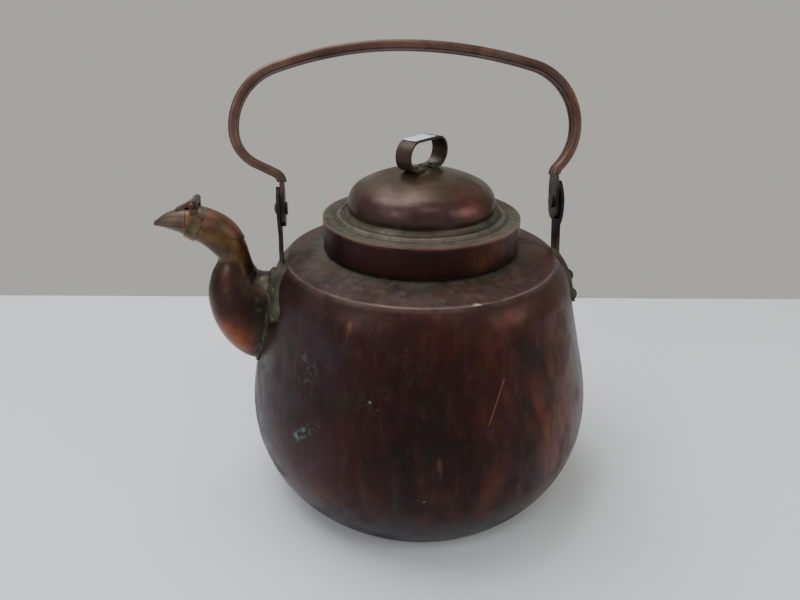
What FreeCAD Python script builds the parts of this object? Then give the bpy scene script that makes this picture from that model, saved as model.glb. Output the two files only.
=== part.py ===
import FreeCAD, Part
import math
import os
import Sketcher

# An old copper kettle: pear-shaped body, hinged bail handle, gooseneck spout with a flap, lift-off lid.
# Frame: millimetres, +Z up, origin at the centre of the flat base.
# The spout points along -X and the bail's pivots lie on the X axis above the body.

DRIVING_SIZES = {
    "sheet_gauge": 1.2,            # copper sheet of the body, shoulder, collar and lid
    "belly_radius": 114.4,         # widest part of the body
    "belly_level": 58.0,
    "lower_curve": 80.0,           # radius of the side below the belly
    "upper_curve": 115.0,          # radius of the side above the belly
    "taper_angle": 14.1,           # lean of the straight upper side
    "shoulder_curve": 28.3,        # radius that rolls the side in to the crease
    "crease_angle": 50.0,          # lean of the side where it meets the shoulder
    "crease_level": 161.4,
    "base_edge_round": 8.0,
    "pan_height": 14.0,            # level of the brazed seam between base pan and wall
    "shoulder_rise": 5.4,          # from the crease to the collar
    "flange_radius": 62.0,         # outside of the lid
    "flange_rise": 20.0,           # from the shoulder's inner edge up to the lid's flat rim
    "skirt_gap": 1.0,              # between the skirt's lower edge and the shoulder
    "lid_clearance": 0.5,          # radial room between collar and skirt
    "lid_seat_gap": 0.3,           # between the collar's top and the rim above it
    "dome_height": 29.0,           # crown of the lid above its rim
    "dome_crown_curve": 85.0,
    "dome_side_curve": 14.0,
    "rim_width": 15.8,             # from the dome's widest part out to the edge of the rim
    "dome_foot_angle": 15.0,
    "bead_inset": 10.5,            # from the edge of the rim in to the bead
    "bead_section": 1.9,
    "loop_span": 38.0,
    "loop_height": 18.6,
    "loop_width": 11.0,
    "loop_gauge": 1.4,
    "loop_seat": 0.5,              # how far the loop's tabs are beaten into the crown
    "loop_tab_gap": 7.0,
    "loop_turn": 45.0,             # plan angle of the finger loop
    "loop_rivet_radius": 1.5,
    "pivot_rise": 31.0,            # from the crease up to the bail's pivots
    "pivot_inset": 0.85,           # from the crease's radius in to each bail tongue's mid-plane
    "bail_lean": 15.0,             # backwards lean of the bail at rest
    "bail_width": 11.5,
    "bail_depth": 5.5,
    "bail_gauge": 1.1,
    "bail_slot": 1.6,              # open seam along the inside of the rolled handle
    "tongue_gauge": 2.4,
    "tongue_width": 14.0,
    "tongue_drop": 11.0,           # below the pivot
    "elbow_rise": 19.6,            # from the pivot to the sharp elbow
    "elbow_round": 6.0,
    "arch_outset": 19.8,           # from each tongue out to the widest part of the arch
    "arch_shift": 7.0,             # how far the old arch has been pushed towards the spout
    "crown_shift": 12.0,
    "arch_level": 46.5,            # widest part of the arch above the pivot
    "crown_level": 95.0,
    "arch_corner": 38.0,
    "hook_angle_left": 27.0,
    "hook_angle_right": 43.0,
    "bracket_gauge": 2.0,
    "leaf_width": 20.0,
    "leaf_top": 13.6,              # above the pivot
    "leaf_neck_drop": 14.0,        # below the pivot
    "neck_width": 11.5,
    "strap_width": 12.0,
    "strap_drop": 23.6,            # from the crease to the middle of the strap's round end
    "slant_left_top": 9.0,         # plan angles of the left strap, round the spout's root
    "slant_left_end": 20.0,
    "slant_right_top": 4.0,        # plan angles of the right strap
    "slant_right_end": 13.0,
    "pivot_radius": 2.6,
    "running_clearance": 0.05,
    "body_gap": 0.3,               # between pieces that move against each other
    "rivet_head": 3.8,
    "rivet_crown": 2.0,
    "rivet_shank": 1.9,
    "rivet_drop_upper": 14.2,      # from the crease to the strap's rivets
    "rivet_drop_lower": 24.4,
    "root_drop": 40.9,             # from the crease to the middle of the spout's root
    "root_half_height": 29.5,
    "root_half_width": 22.5,
    "root_flange_margin": 2.2,
    "root_flange_gauge": 1.0,
    "throat_radius": 9.95,
    "spout_gauge": 1.0,
    "split_rise": 64.4,            # from the root's middle to the flap's lower edge
    "split_outset": 41.1,          # from the wall out to the flap's rear edge
    "hinge_rise": 67.55,           # from the root's middle to one throat radius below the flap's hinge
    "hinge_outset": 35.93,         # from the wall out to the flap's hinge
    "knuckle_radius": 2.3,
    "knuckle_length": 6.0,
    "band_width": 7.0,
    "band_gauge": 0.9,
    "pin_radius": 1.1,
    "pin_ball": 2.1,
    "top_plate_gauge": 0.8,
}


class Size:
    """A length or angle that knows its value and the sheet expression that gives it."""

    def __init__(self, value, text):
        self.value = value
        self.text = text

    def __add__(self, other):
        other = as_size(other)
        return Size(self.value + other.value, f"({self.text} + {other.text})")

    def __sub__(self, other):
        other = as_size(other)
        return Size(self.value - other.value, f"({self.text} - {other.text})")

    def __mul__(self, other):
        other = as_size(other)
        return Size(self.value * other.value, f"({self.text} * {other.text})")

    def __truediv__(self, other):
        other = as_size(other)
        return Size(self.value / other.value, f"({self.text} / {other.text})")

    def __neg__(self):
        return Size(-self.value, f"(0 - {self.text})")


def as_size(value):
    return value if isinstance(value, Size) else Size(float(value), f"{float(value):.6g}")


def sine(angle):
    return Size(math.sin(math.radians(angle.value)), f"sin({angle.text})")


def cosine(angle):
    return Size(math.cos(math.radians(angle.value)), f"cos({angle.text})")


def root(size):
    return Size(math.sqrt(size.value), f"sqrt({size.text})")


doc = FreeCAD.newDocument("Kettle")
sheet = doc.addObject("Spreadsheet::Sheet", "Sizes")
for row, (alias, number) in enumerate(DRIVING_SIZES.items(), start=1):
    sheet.set(f"A{row}", str(number))
    sheet.setAlias(f"A{row}", alias)
doc.recompute()


def given(alias):
    return Size(DRIVING_SIZES[alias], f"Sizes.{alias}")


NONE = as_size(0.0)
SPOUT_RINGS = 36
SPOUT_SPOKES = 24
pieces = {}


# ---------------------------------------------------------------- general helpers

def bind(item, prop, size):
    """Give a property its value and tie it to the sheet."""
    item.setExpression(prop, as_size(size).text)


def place(item, x=NONE, y=NONE, z=NONE, axis=None, angle=None):
    """Put an item at a bound position, turned by a bound angle about a fixed axis."""
    if axis is not None:
        item.Placement = FreeCAD.Placement(FreeCAD.Vector(), FreeCAD.Rotation(axis, angle.value))
        item.setExpression("Placement.Rotation.Angle", f"({angle.text}) * 1deg")
    for prop, size in (("x", x), ("y", y), ("z", z)):
        bind(item, f"Placement.Base.{prop}", size)


def arc_centre(start, end, radius, left_turn):
    """Centre of the shorter arc of this radius that leaves start and bends left or right to end."""
    dx, dy = end[0] - start[0], end[1] - start[1]
    half = math.hypot(dx, dy) / 2.0
    reach = math.sqrt(max(radius * radius - half * half, 0.0))
    side = 1.0 if left_turn else -1.0
    mid_x, mid_y = (start[0] + end[0]) / 2.0, (start[1] + end[1]) / 2.0
    return mid_x - side * dy / (2.0 * half) * reach, mid_y + side * dx / (2.0 * half) * reach


def edge_geometry(start, end, bend):
    """Line, or the arc of a signed bend radius: positive bends left on the way from start to end."""
    if bend is None:
        return Part.LineSegment(FreeCAD.Vector(*start, 0), FreeCAD.Vector(*end, 0))
    radius = abs(bend.value)
    cx, cy = arc_centre(start, end, radius, bend.value > 0)
    first, last = (start, end) if bend.value > 0 else (end, start)
    angle_first = math.atan2(first[1] - cy, first[0] - cx)
    angle_last = math.atan2(last[1] - cy, last[0] - cx)
    circle = Part.Circle(FreeCAD.Vector(cx, cy, 0), FreeCAD.Vector(0, 0, 1), radius)
    return Part.ArcOfCircle(circle, angle_first, angle_last)


def pin_down(sketch, edge, end, x, y):
    """Fix one end of an edge at bound coordinates."""
    for kind, axis, size in (("DistanceX", -2, x), ("DistanceY", -1, y)):
        if size.value == 0.0:
            sketch.addConstraint(Sketcher.Constraint("PointOnObject", edge, end, axis))
        else:
            number = sketch.addConstraint(Sketcher.Constraint(kind, -1, 1, edge, end, size.value))
            sketch.setExpression(f"Constraints[{number}]", size.text)


def draw(sketch, corners, closed=True):
    """Draw corners (x, y[, bend to the next corner]) as one chain of lines and arcs."""
    corners = [(as_size(c[0]), as_size(c[1]), c[2] if len(c) > 2 else None) for c in corners]
    count = len(corners) if closed else len(corners) - 1
    ends = []
    for index in range(count):
        x, y, bend = corners[index]
        next_x, next_y, _ = corners[(index + 1) % len(corners)]
        geometry = edge_geometry((x.value, y.value), (next_x.value, next_y.value), bend)
        edge = sketch.addGeometry(geometry, False)
        forward = bend is None or bend.value > 0
        ends.append((edge, 1, 2) if forward else (edge, 2, 1))
        if bend is not None:
            radius = bend if bend.value > 0 else -bend
            number = sketch.addConstraint(Sketcher.Constraint("Radius", edge, radius.value))
            sketch.setExpression(f"Constraints[{number}]", radius.text)
    for index, (edge, start, end) in enumerate(ends):
        pin_down(sketch, edge, start, corners[index][0], corners[index][1])
        if index + 1 < count or closed:
            next_edge, next_start, _ = ends[(index + 1) % count]
            sketch.addConstraint(Sketcher.Constraint("Coincident", edge, end, next_edge, next_start))
        else:
            pin_down(sketch, edge, end, corners[-1][0], corners[-1][1])


def new_sketch(body, name, plane, corners, level=None, closed=True):
    """Sketch on one of the body's own origin planes, moved along its normal to a bound level."""
    sketch = body.newObject("Sketcher::SketchObject", name)
    support = next(f for f in body.Origin.OriginFeatures if f.Role == plane)
    sketch.AttachmentSupport = [(support, "")]
    sketch.MapMode = "FlatFace"
    if level is not None:
        bind(sketch, "AttachmentOffset.Base.z", level)
    draw(sketch, corners, closed)
    return sketch


def turned(name, corners):
    """Solid of revolution about Z from corners in (radius, height)."""
    body = doc.addObject("PartDesign::Body", name)
    sketch = new_sketch(body, f"{name}_profile", "XZ_Plane", corners)
    turn = body.newObject("PartDesign::Revolution", f"{name}_turn")
    turn.Profile = sketch
    turn.ReferenceAxis = (sketch, ["V_Axis"])
    turn.Angle = 360.0
    return body


def padded(name, plane, corners, start, length):
    """Prism on an origin plane: YZ_Plane corners are (y, z) along +X, XY_Plane (x, y) along +Z,
    and XZ_Plane (x, z) along -Y."""
    body = doc.addObject("PartDesign::Body", name)
    sketch = new_sketch(body, f"{name}_outline", plane, corners, start)
    pad = body.newObject("PartDesign::Pad", f"{name}_pad")
    pad.Profile = sketch
    bind(pad, "Length", length)
    return body


def cylinder(name, radius, length):
    rod = doc.addObject("Part::Cylinder", name)
    bind(rod, "Radius", radius)
    bind(rod, "Height", length)
    return rod


def cut(name, base, tool):
    item = doc.addObject("Part::Cut", name)
    item.Base = base
    item.Tool = tool
    return item


def common(name, base, tool):
    item = doc.addObject("Part::Common", name)
    item.Base = base
    item.Tool = tool
    return item


def fuse(name, *items):
    item = doc.addObject("Part::MultiFuse", name)
    item.Shapes = list(items)
    return item


def compound(name, *items):
    item = doc.addObject("Part::Compound", name)
    item.Links = list(items)
    return item


def piece(node, item):
    """Name an item as one real piece of the kettle."""
    item.Label = node
    pieces[node] = item
    return item


# ---------------------------------------------------------------- body of the kettle

gauge = given("sheet_gauge")
belly_radius = given("belly_radius")
belly_level = given("belly_level")
lower_curve = given("lower_curve")
upper_curve = given("upper_curve")
taper = given("taper_angle")
crease_angle = given("crease_angle")
shoulder_curve = given("shoulder_curve")
crease_level = given("crease_level")

cone_radius = belly_radius - upper_curve * (as_size(1.0) - cosine(taper))
cone_level = belly_level + upper_curve * sine(taper)
roll_level = crease_level - shoulder_curve * (sine(crease_angle) - sine(taper))
roll_radius = cone_radius - sine(taper) / cosine(taper) * (roll_level - cone_level)
crease_radius = roll_radius - shoulder_curve * (cosine(taper) - cosine(crease_angle))


def side_points(offset):
    """Outer side from belly to crease, moved out by an offset (in when it is negative)."""
    offset = as_size(offset)
    return [
        (belly_radius + offset, belly_level),
        (cone_radius + offset * cosine(taper), cone_level + offset * sine(taper)),
        (roll_radius + offset * cosine(taper), roll_level + offset * sine(taper)),
        (crease_radius + offset * cosine(crease_angle), crease_level + offset * sine(crease_angle)),
    ]


def lower_side_radius(level, offset=NONE):
    """Radius of the side below the belly at a level, on the surface moved out by an offset."""
    reach = lower_curve + offset
    drop = belly_level - level
    return belly_radius - lower_curve + root(reach * reach - drop * drop)


def cone_side_radius(level):
    """Radius of the straight upper side at a level."""
    return cone_radius - sine(taper) / cosine(taper) * (level - cone_level)


def make_body_wall():
    """Raised side wall, open at both ends, before the spout's hole is cut."""
    seam = given("pan_height")
    outer = side_points(0.0)
    inner = side_points(-gauge)
    corners = [
        (lower_side_radius(seam), seam, lower_curve),
        (*outer[0], upper_curve),
        outer[1],
        (*outer[2], shoulder_curve),
        outer[3],
        (*inner[3], -(shoulder_curve - gauge)),
        inner[2],
        (*inner[1], -(upper_curve - gauge)),
        (*inner[0], -(lower_curve - gauge)),
        (lower_side_radius(seam, -gauge), seam),
    ]
    return turned("wall_blank", corners)


def base_edge(offset):
    """Centre distance and touching point of the round that joins the flat base to the side."""
    edge = given("base_edge_round")
    reach = lower_curve - edge
    drop = belly_level - edge
    across = root(reach * reach - drop * drop)
    centre = belly_radius - lower_curve + across
    ratio = (lower_curve + offset) / reach
    touch = (belly_radius - lower_curve + across * ratio, belly_level - drop * ratio)
    return centre, touch


def make_base_pan():
    """Dished base: flat disc with a rounded edge that turns up to the seam with the wall."""
    seam = given("pan_height")
    edge = given("base_edge_round")
    centre, outer_touch = base_edge(NONE)
    _, inner_touch = base_edge(-gauge)
    corners = [
        (NONE, NONE),
        (centre, NONE, edge),
        (*outer_touch, lower_curve),
        (lower_side_radius(seam), seam),
        (lower_side_radius(seam, -gauge), seam, -(lower_curve - gauge)),
        (*inner_touch, -(edge - gauge)),
        (centre, gauge),
        (NONE, gauge),
    ]
    return turned("base_pan", corners)


collar_radius = given("flange_radius") - gauge - given("lid_clearance")
collar_foot = crease_level + given("shoulder_rise")
rim_top = collar_foot + given("flange_rise")


def make_shoulder():
    """Shallow conical ring from the crease up to the collar."""
    outer_end = side_points(0.0)[3]
    inner_end = side_points(-gauge)[3]
    corners = [
        outer_end,
        (collar_radius, collar_foot),
        (collar_radius, collar_foot - gauge),
        inner_end,
    ]
    return turned("shoulder_plate", corners)


def make_collar():
    """Upright neck that the lid slips over, with its foot through the shoulder."""
    top = rim_top - gauge - given("lid_seat_gap")
    foot = collar_foot - gauge * 2.0
    corners = [
        (collar_radius, foot),
        (collar_radius, top),
        (collar_radius - gauge, top),
        (collar_radius - gauge, foot),
    ]
    return turned("neck_collar", corners)


def make_core():
    """The kettle's whole volume, used only to trim what sits on its outside."""
    outer = side_points(0.0)
    corners = [
        (NONE, NONE),
        (lower_side_radius(NONE), NONE, lower_curve),
        (*outer[0], upper_curve),
        outer[1],
        (*outer[2], shoulder_curve),
        outer[3],
        (NONE, crease_level),
    ]
    return turned("core", corners)


def make_band(name, thickness):
    """A skin of the given thickness on the outside of the upper side, for straps and flanges."""
    inner = side_points(0.0)
    outer = side_points(thickness)
    corners = [
        (*inner[0], upper_curve),
        inner[1],
        (*inner[2], shoulder_curve),
        inner[3],
        (*outer[3], -(shoulder_curve + thickness)),
        outer[2],
        (*outer[1], -(upper_curve + thickness)),
        outer[0],
    ]
    return turned(name, corners)


# ---------------------------------------------------------------- lid

def dome_points(offset):
    """Crown, haunch, widest point and foot of the lid's dome, moved out by an offset."""
    crown = given("dome_crown_curve")
    side = given("dome_side_curve")
    radius = given("flange_radius") - given("rim_width")
    sine_haunch = (radius - side) / (crown - side)
    cosine_haunch = root(as_size(1.0) - sine_haunch * sine_haunch)
    top = rim_top + given("dome_height")
    crown_centre = top - crown
    side_level = crown_centre + (crown - side) * cosine_haunch
    foot = given("dome_foot_angle")
    reach = side + offset
    return [
        (NONE, top + offset),
        ((crown + offset) * sine_haunch, crown_centre + (crown + offset) * cosine_haunch),
        (radius - side + reach, side_level),
        (radius - side + reach * cosine(foot), side_level - reach * sine(foot)),
    ]


def make_lid_top():
    """Domed cover with a cove at the dome's foot, a raised bead and a flat rim, in one sheet."""
    crown = given("dome_crown_curve")
    side = given("dome_side_curve")
    bead = given("bead_section")
    bead_radius = given("flange_radius") - given("bead_inset")
    outer = dome_points(NONE)
    inner = dome_points(-gauge)
    cove_end = bead_radius - bead * 1.5
    cove_radius = (outer[3][1] - rim_top) * 1.35
    edge = given("flange_radius")
    corners = [
        (*outer[0], -crown),
        (*outer[1], -side),
        (*outer[2], -side),
        (*outer[3], cove_radius),
        (cove_end, rim_top + bead * 0.35),
        (bead_radius - bead, rim_top + bead * 0.35, -(bead * 1.15)),
        (bead_radius + bead, rim_top + bead * 0.2),
        (bead_radius + bead * 1.4, rim_top),
        (edge, rim_top),
        (edge, rim_top - gauge),
        (cove_end - gauge, rim_top - gauge),
        (*inner[3], side - gauge),
        (*inner[2], side - gauge),
        (*inner[1], crown - gauge),
        inner[0],
    ]
    return turned("lid_top_blank", corners)


def make_lid_skirt():
    """Straight cylinder below the lid's rim."""
    edge = given("flange_radius")
    low = collar_foot + given("skirt_gap")
    corners = [
        (edge, low),
        (edge, rim_top - gauge),
        (edge - gauge, rim_top - gauge),
        (edge - gauge, low),
    ]
    return turned("lid_skirt", corners)


def loop_outline(inset):
    """Rounded loop in (x, z) above the dome's crown, as one side of the strap."""
    half = given("loop_span") / 2.0 - inset
    low = rim_top + given("dome_height") - given("loop_seat") + inset
    high = rim_top + given("dome_height") + given("loop_height") - inset
    bend = (high - low) / 2.0
    gap = given("loop_tab_gap") / 2.0
    return half, low, high, bend, gap


def make_lid_loop(lid_top, drills):
    """Finger loop bent from one strap, its two tabs riveted to the crown of the dome."""
    thick = given("loop_gauge")
    half, low, high, bend, gap = loop_outline(NONE)
    in_half, in_low, in_high, in_bend, _ = loop_outline(thick)
    corners = [
        (gap, low),
        (half - bend, low, bend),
        (half, low + bend, bend),
        (half - bend, high),
        (-(half - bend), high, bend),
        (-half, low + bend, bend),
        (-(half - bend), low),
        (-gap, low),
        (-gap, in_low),
        (-(in_half - in_bend), in_low, -in_bend),
        (-in_half, in_low + in_bend, -in_bend),
        (-(in_half - in_bend), in_high),
        (in_half - in_bend, in_high, -in_bend),
        (in_half, in_low + in_bend, -in_bend),
        (in_half - in_bend, in_low),
        (gap, in_low),
    ]
    strap = padded("loop_strap", "XZ_Plane", corners, -(given("loop_width") / 2.0), given("loop_width"))
    place(strap, axis=FreeCAD.Vector(0, 0, 1), angle=given("loop_turn"))
    return cut("loop_drilled", cut("loop_fitted", strap, lid_top), drills)


def loop_rivet_places():
    """Plan positions of the two rivets through the loop's tabs."""
    half, _, _, bend, gap = loop_outline(NONE)
    reach = (half - bend + gap) / 2.0 + given("loop_gauge") * 0.4
    turn = given("loop_turn")
    return [(reach * cosine(turn) * s, reach * sine(turn) * s) for s in (1.0, -1.0)]


def make_loop_rivets():
    """Two small domed rivets, and the holes that take them."""
    crown = rim_top + given("dome_height")
    shank = given("loop_rivet_radius")
    head_level = crown - given("loop_seat") + given("loop_gauge")
    tail_level = crown - gauge * 2.0
    rivets, drills = [], []
    for number, (x, y) in enumerate(loop_rivet_places()):
        drill = cylinder(f"loop_drill_{number}", shank, gauge * 8.0)
        place(drill, x, y, crown - gauge * 4.0)
        rivet = rivet_blank(f"loop_rivet_{number}", shank, shank * 1.7, shank * 0.8, head_level - tail_level)
        place(rivet, x, y, head_level)
        rivets.append(rivet)
        drills.append(drill)
    return rivets, fuse("loop_drills", *drills)


# ---------------------------------------------------------------- rivets

def rivet_blank(name, shank, head, crown, grip):
    """Rivet along Z: domed head above z = 0, shank down through the grip, flattened tail below it."""
    curve = (head * head + crown * crown) / (crown * 2.0)
    tail = crown * 0.5
    corners = [
        (NONE, crown, -curve),
        (head, NONE),
        (shank, NONE),
        (shank, -grip),
        (head * 0.85, -grip),
        (head * 0.85, -(grip + tail)),
        (NONE, -(grip + tail)),
    ]
    return turned(name, corners)


def on_side(level, azimuth, sign, offset):
    """Point on the straight upper side at a plan angle from the X axis, moved out by an offset."""
    reach = cone_side_radius(level) + offset * cosine(taper)
    return reach * cosine(azimuth) * sign, -(reach * sine(azimuth)), level + offset * sine(taper)


def side_rotation(azimuth, sign):
    """Rotation that points +Z along the side's outward normal, at a plan angle from the X axis."""
    tilt = 90.0 - taper.value
    heading = -azimuth.value if sign > 0 else 180.0 + azimuth.value
    about_y = FreeCAD.Rotation(FreeCAD.Vector(0, 1, 0), tilt)
    return FreeCAD.Rotation(FreeCAD.Vector(0, 0, 1), heading).multiply(about_y)


def strap_azimuth(level, sign):
    """Plan angle of a strap at a level: both slant forwards on the way down."""
    side = "right" if sign > 0 else "left"
    top = given(f"slant_{side}_top")
    fall = (crease_level - level) / given("strap_drop")
    return top + (given(f"slant_{side}_end") - top) * fall


def make_strap_rivets(side, sign):
    """Two domed rivets through a strap and the wall, with the drill that makes their holes."""
    shank = given("rivet_shank")
    thick = given("bracket_gauge")
    grip = thick + gauge + given("running_clearance") * 6.0
    rivets, drills = [], []
    for number, alias in enumerate(("rivet_drop_upper", "rivet_drop_lower")):
        level = crease_level - given(alias)
        azimuth = strap_azimuth(level, sign)
        x, y, z = on_side(level, azimuth, sign, thick)
        rotation = side_rotation(azimuth, sign)
        rivet = rivet_blank(f"{side}_rivet_{number}", shank, given("rivet_head"), given("rivet_crown"), grip)
        drill = cylinder(f"{side}_drill_{number}", shank, grip * 6.0)
        in_x, in_y, in_z = on_side(level, azimuth, sign, thick - grip * 3.0)
        for item, where in ((rivet, (x, y, z)), (drill, (in_x, in_y, in_z))):
            item.Placement = FreeCAD.Placement(FreeCAD.Vector(), rotation)
            for prop, size in zip("xyz", where):
                bind(item, f"Placement.Base.{prop}", size)
        rivets.append(rivet)
        drills.append(drill)
    return rivets, fuse(f"{side}_drills", *drills)


# ---------------------------------------------------------------- bail brackets

pivot_level = crease_level + given("pivot_rise")
pivot_reach = crease_radius - given("pivot_inset")
leaf_inner = pivot_reach + given("tongue_gauge") / 2.0 + given("body_gap")


def leaf_corners(sign):
    """Leaf and neck of a bracket in (y, z): a pointed leaf round the pivot on a narrow neck."""
    half_leaf = given("leaf_width") / 2.0
    half_neck = given("neck_width") / 2.0
    top = pivot_level + given("leaf_top")
    neck = pivot_level - given("leaf_neck_drop")
    foot = crease_level - given("bracket_gauge") * 1.5
    widest = pivot_level - half_leaf * 0.1
    drift = -(crease_radius * sine(strap_azimuth(crease_level, sign)))
    neck_drift = drift * 0.2
    upper_bend = -(half_leaf * 1.7)
    lower_bend = -(half_leaf * 1.9)
    return [
        (NONE, top, upper_bend),
        (half_leaf, widest, lower_bend),
        (half_neck + neck_drift, neck),
        (half_neck + drift, foot),
        (-half_neck + drift, foot),
        (-half_neck + neck_drift, neck, lower_bend),
        (-half_leaf, widest, upper_bend),
    ]


def strap_corners(sign):
    """Strap below the crease in (y, z), with a round lower end."""
    half = given("strap_width") / 2.0
    half_neck = given("neck_width") / 2.0
    end = crease_level - given("strap_drop")
    top_y = -(crease_radius * sine(strap_azimuth(crease_level, sign)))
    end_y = -(cone_side_radius(end) * sine(strap_azimuth(end, sign)))
    high = crease_level + given("bracket_gauge")
    run = end_y - top_y
    fall = crease_level - end
    length = root(run * run + fall * fall)
    cos_s, sin_s = fall / length, run / length
    right = (end_y + half * cos_s, end + half * sin_s)
    left = (end_y - half * cos_s, end - half * sin_s)
    low = (end_y + half * sin_s, end - half * cos_s)
    return [
        (top_y - half_neck, high),
        (*left, half),
        (*low, half),
        right,
        (top_y + half_neck, high),
    ]


def make_bracket(side, sign, core, band, strap_drills):
    """Bail bracket: leaf and neck stand above the crease, the strap follows the wall below it."""
    thick = given("bracket_gauge")
    start = leaf_inner if sign > 0 else -(leaf_inner + thick)
    leaf = padded(f"{side}_leaf", "YZ_Plane", leaf_corners(sign), start, thick)
    depth = belly_radius * 0.8
    near = belly_radius * 0.4 if sign > 0 else -(belly_radius * 1.2)
    strap = padded(f"{side}_strap", "YZ_Plane", strap_corners(sign), near, depth)
    whole = fuse(f"{side}_plate", leaf, common(f"{side}_strap_fitted", strap, band))
    trimmed = cut(f"{side}_plate_trimmed", whole, core)
    drilled = cut(f"{side}_plate_drilled", trimmed, strap_drills)
    hole = cylinder(f"{side}_pivot_hole", given("pivot_radius"), thick * 3.0)
    place(hole, start - thick, NONE, pivot_level, FreeCAD.Vector(0, 1, 0), as_size(90.0))
    return cut(f"{side}_bracket", drilled, hole)


def make_pivot_rivet(side, sign):
    """Pivot rivet: its shank is fast in the leaf and runs in the bail's tongue."""
    shank = given("pivot_radius")
    head = shank * 1.75
    grip = given("bracket_gauge") + given("tongue_gauge") + given("body_gap") * 2.0
    rivet = rivet_blank(f"{side}_pivot", shank, head, shank * 0.8, grip)
    outer_face = (leaf_inner + given("bracket_gauge")) * sign
    place(rivet, outer_face, NONE, pivot_level, FreeCAD.Vector(0, 1, 0), as_size(90.0 * sign))
    return rivet


# ---------------------------------------------------------------- bail handle

class HalfArch:
    """One half of the bail's centre line, from the crown down to the tongue, in (x, z)."""

    def __init__(self, sign, hook_angle):
        reach = pivot_reach
        side_reach = reach + given("arch_outset") - given("arch_shift") * sign
        crown_reach = side_reach + given("crown_shift") * sign
        side_level = pivot_level + given("arch_level")
        self.crown_level = pivot_level + given("crown_level")
        corner = given("arch_corner")
        self.corner = corner
        rise = self.crown_level - side_level - corner
        span = crown_reach - corner
        length = root(rise * rise + span * span)
        half_sine, half_cosine = rise / length, span / length
        sine_turn = half_sine * half_cosine * 2.0
        cosine_turn = half_cosine * half_cosine - half_sine * half_sine
        self.crown_curve = corner + span / sine_turn
        self.side = (side_reach * sign, side_level)
        haunch_x = self.crown_curve * sine_turn - given("crown_shift") * sign
        self.haunch = (haunch_x * sign, self.crown_level - self.crown_curve * (as_size(1.0) - cosine_turn))
        elbow_level = pivot_level + given("elbow_rise")
        across = side_reach - reach
        upward = side_level - elbow_level
        slack = as_size(1.0) - sine(hook_angle)
        self.hook = (cosine(hook_angle) * upward - sine(hook_angle) * across) / slack
        straight = cosine(hook_angle) * across / slack - upward
        start = (reach + straight * cosine(hook_angle), elbow_level + straight * sine(hook_angle))
        self.hook_start = (start[0] * sign, start[1])
        bend = given("elbow_round")
        quarter = as_size(45.0) - hook_angle / 2.0
        tangent = bend * sine(quarter) / cosine(quarter)
        self.elbow_out = ((reach + tangent * cosine(hook_angle)) * sign,
                          elbow_level + tangent * sine(hook_angle))
        self.elbow_in = (reach * sign, elbow_level - tangent)


def bail_section():
    """Rolled handle in (x, y) about the left tongue: a flat tube with its seam open towards the middle."""
    depth = given("bail_depth") / 2.0
    width = given("bail_width") / 2.0
    skin = given("bail_gauge")
    slot = given("bail_slot") / 2.0
    bend = depth * 0.85
    in_depth, in_width, in_bend = depth - skin, width - skin, bend - skin
    middle = -pivot_reach
    return [
        (middle + depth, slot),
        (middle + depth, width - bend, bend),
        (middle + depth - bend, width),
        (middle - depth + bend, width, bend),
        (middle - depth, width - bend),
        (middle - depth, -(width - bend), bend),
        (middle - depth + bend, -width),
        (middle + depth - bend, -width, bend),
        (middle + depth, -(width - bend)),
        (middle + depth, -slot),
        (middle + in_depth, -slot),
        (middle + in_depth, -(in_width - in_bend), -in_bend),
        (middle + in_depth - in_bend, -in_width),
        (middle - in_depth + in_bend, -in_width, -in_bend),
        (middle - in_depth, -(in_width - in_bend)),
        (middle - in_depth, in_width - in_bend, -in_bend),
        (middle - in_depth + in_bend, in_width),
        (middle + in_depth - in_bend, in_width, -in_bend),
        (middle + in_depth, in_width - in_bend),
        (middle + in_depth, slot),
    ]


def tongue_corners():
    """Flattened end of the handle in (y, z), round below the pivot."""
    half = given("tongue_width") / 2.0
    low = pivot_level - given("tongue_drop")
    top = pivot_level + given("elbow_rise") - given("elbow_round") * 0.4
    shoulder = pivot_level + given("elbow_rise") * 0.45
    tube = given("bail_width") / 2.0 - given("bail_gauge") * 0.5
    return [
        (-half, low + half, half),
        (NONE, low, half),
        (half, low + half),
        (half, shoulder),
        (tube, top),
        (-tube, top),
        (-half, shoulder),
    ]


def make_bail():
    """The whole handle in one piece: rolled arch, sharp elbows and flattened tongues."""
    left = HalfArch(-1.0, given("hook_angle_left"))
    right = HalfArch(1.0, given("hook_angle_right"))
    body = doc.addObject("PartDesign::Body", "bail_arch")
    bend = given("elbow_round")
    crown = (-given("crown_shift"), left.crown_level)
    path = [
        left.elbow_in + (bend,),
        left.elbow_out,
        left.hook_start + (-left.hook,),
        left.side + (-left.corner,),
        left.haunch + (-left.crown_curve,),
        crown + (-right.crown_curve,),
        right.haunch + (-right.corner,),
        right.side + (-right.hook,),
        right.hook_start,
        right.elbow_out + (bend,),
        right.elbow_in,
    ]
    spine = new_sketch(body, "bail_path", "XZ_Plane", path, closed=False)
    section = new_sketch(body, "bail_section", "XY_Plane", bail_section(), left.elbow_in[1])
    pipe = body.newObject("PartDesign::AdditivePipe", "bail_pipe")
    pipe.Profile = section
    pipe.Spine = (spine, [])
    thick = given("tongue_gauge")
    tongues = []
    for side, sign in (("left", -1.0), ("right", 1.0)):
        start = pivot_reach * sign - thick / 2.0
        tongue = padded(f"{side}_tongue", "YZ_Plane", tongue_corners(), start, thick)
        hole = cylinder(f"{side}_tongue_hole", given("pivot_radius") + given("running_clearance"), thick * 3.0)
        place(hole, start - thick, NONE, pivot_level, FreeCAD.Vector(0, 1, 0), as_size(90.0))
        tongues.append(cut(f"{side}_tongue_bored", tongue, hole))
    bail = fuse("bail", body, *tongues)
    lean = given("bail_lean")
    place(bail, NONE, -(pivot_level * sine(lean)), pivot_level * (as_size(1.0) - cosine(lean)),
          FreeCAD.Vector(-1, 0, 0), lean)
    return bail


# ---------------------------------------------------------------- spout

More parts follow.
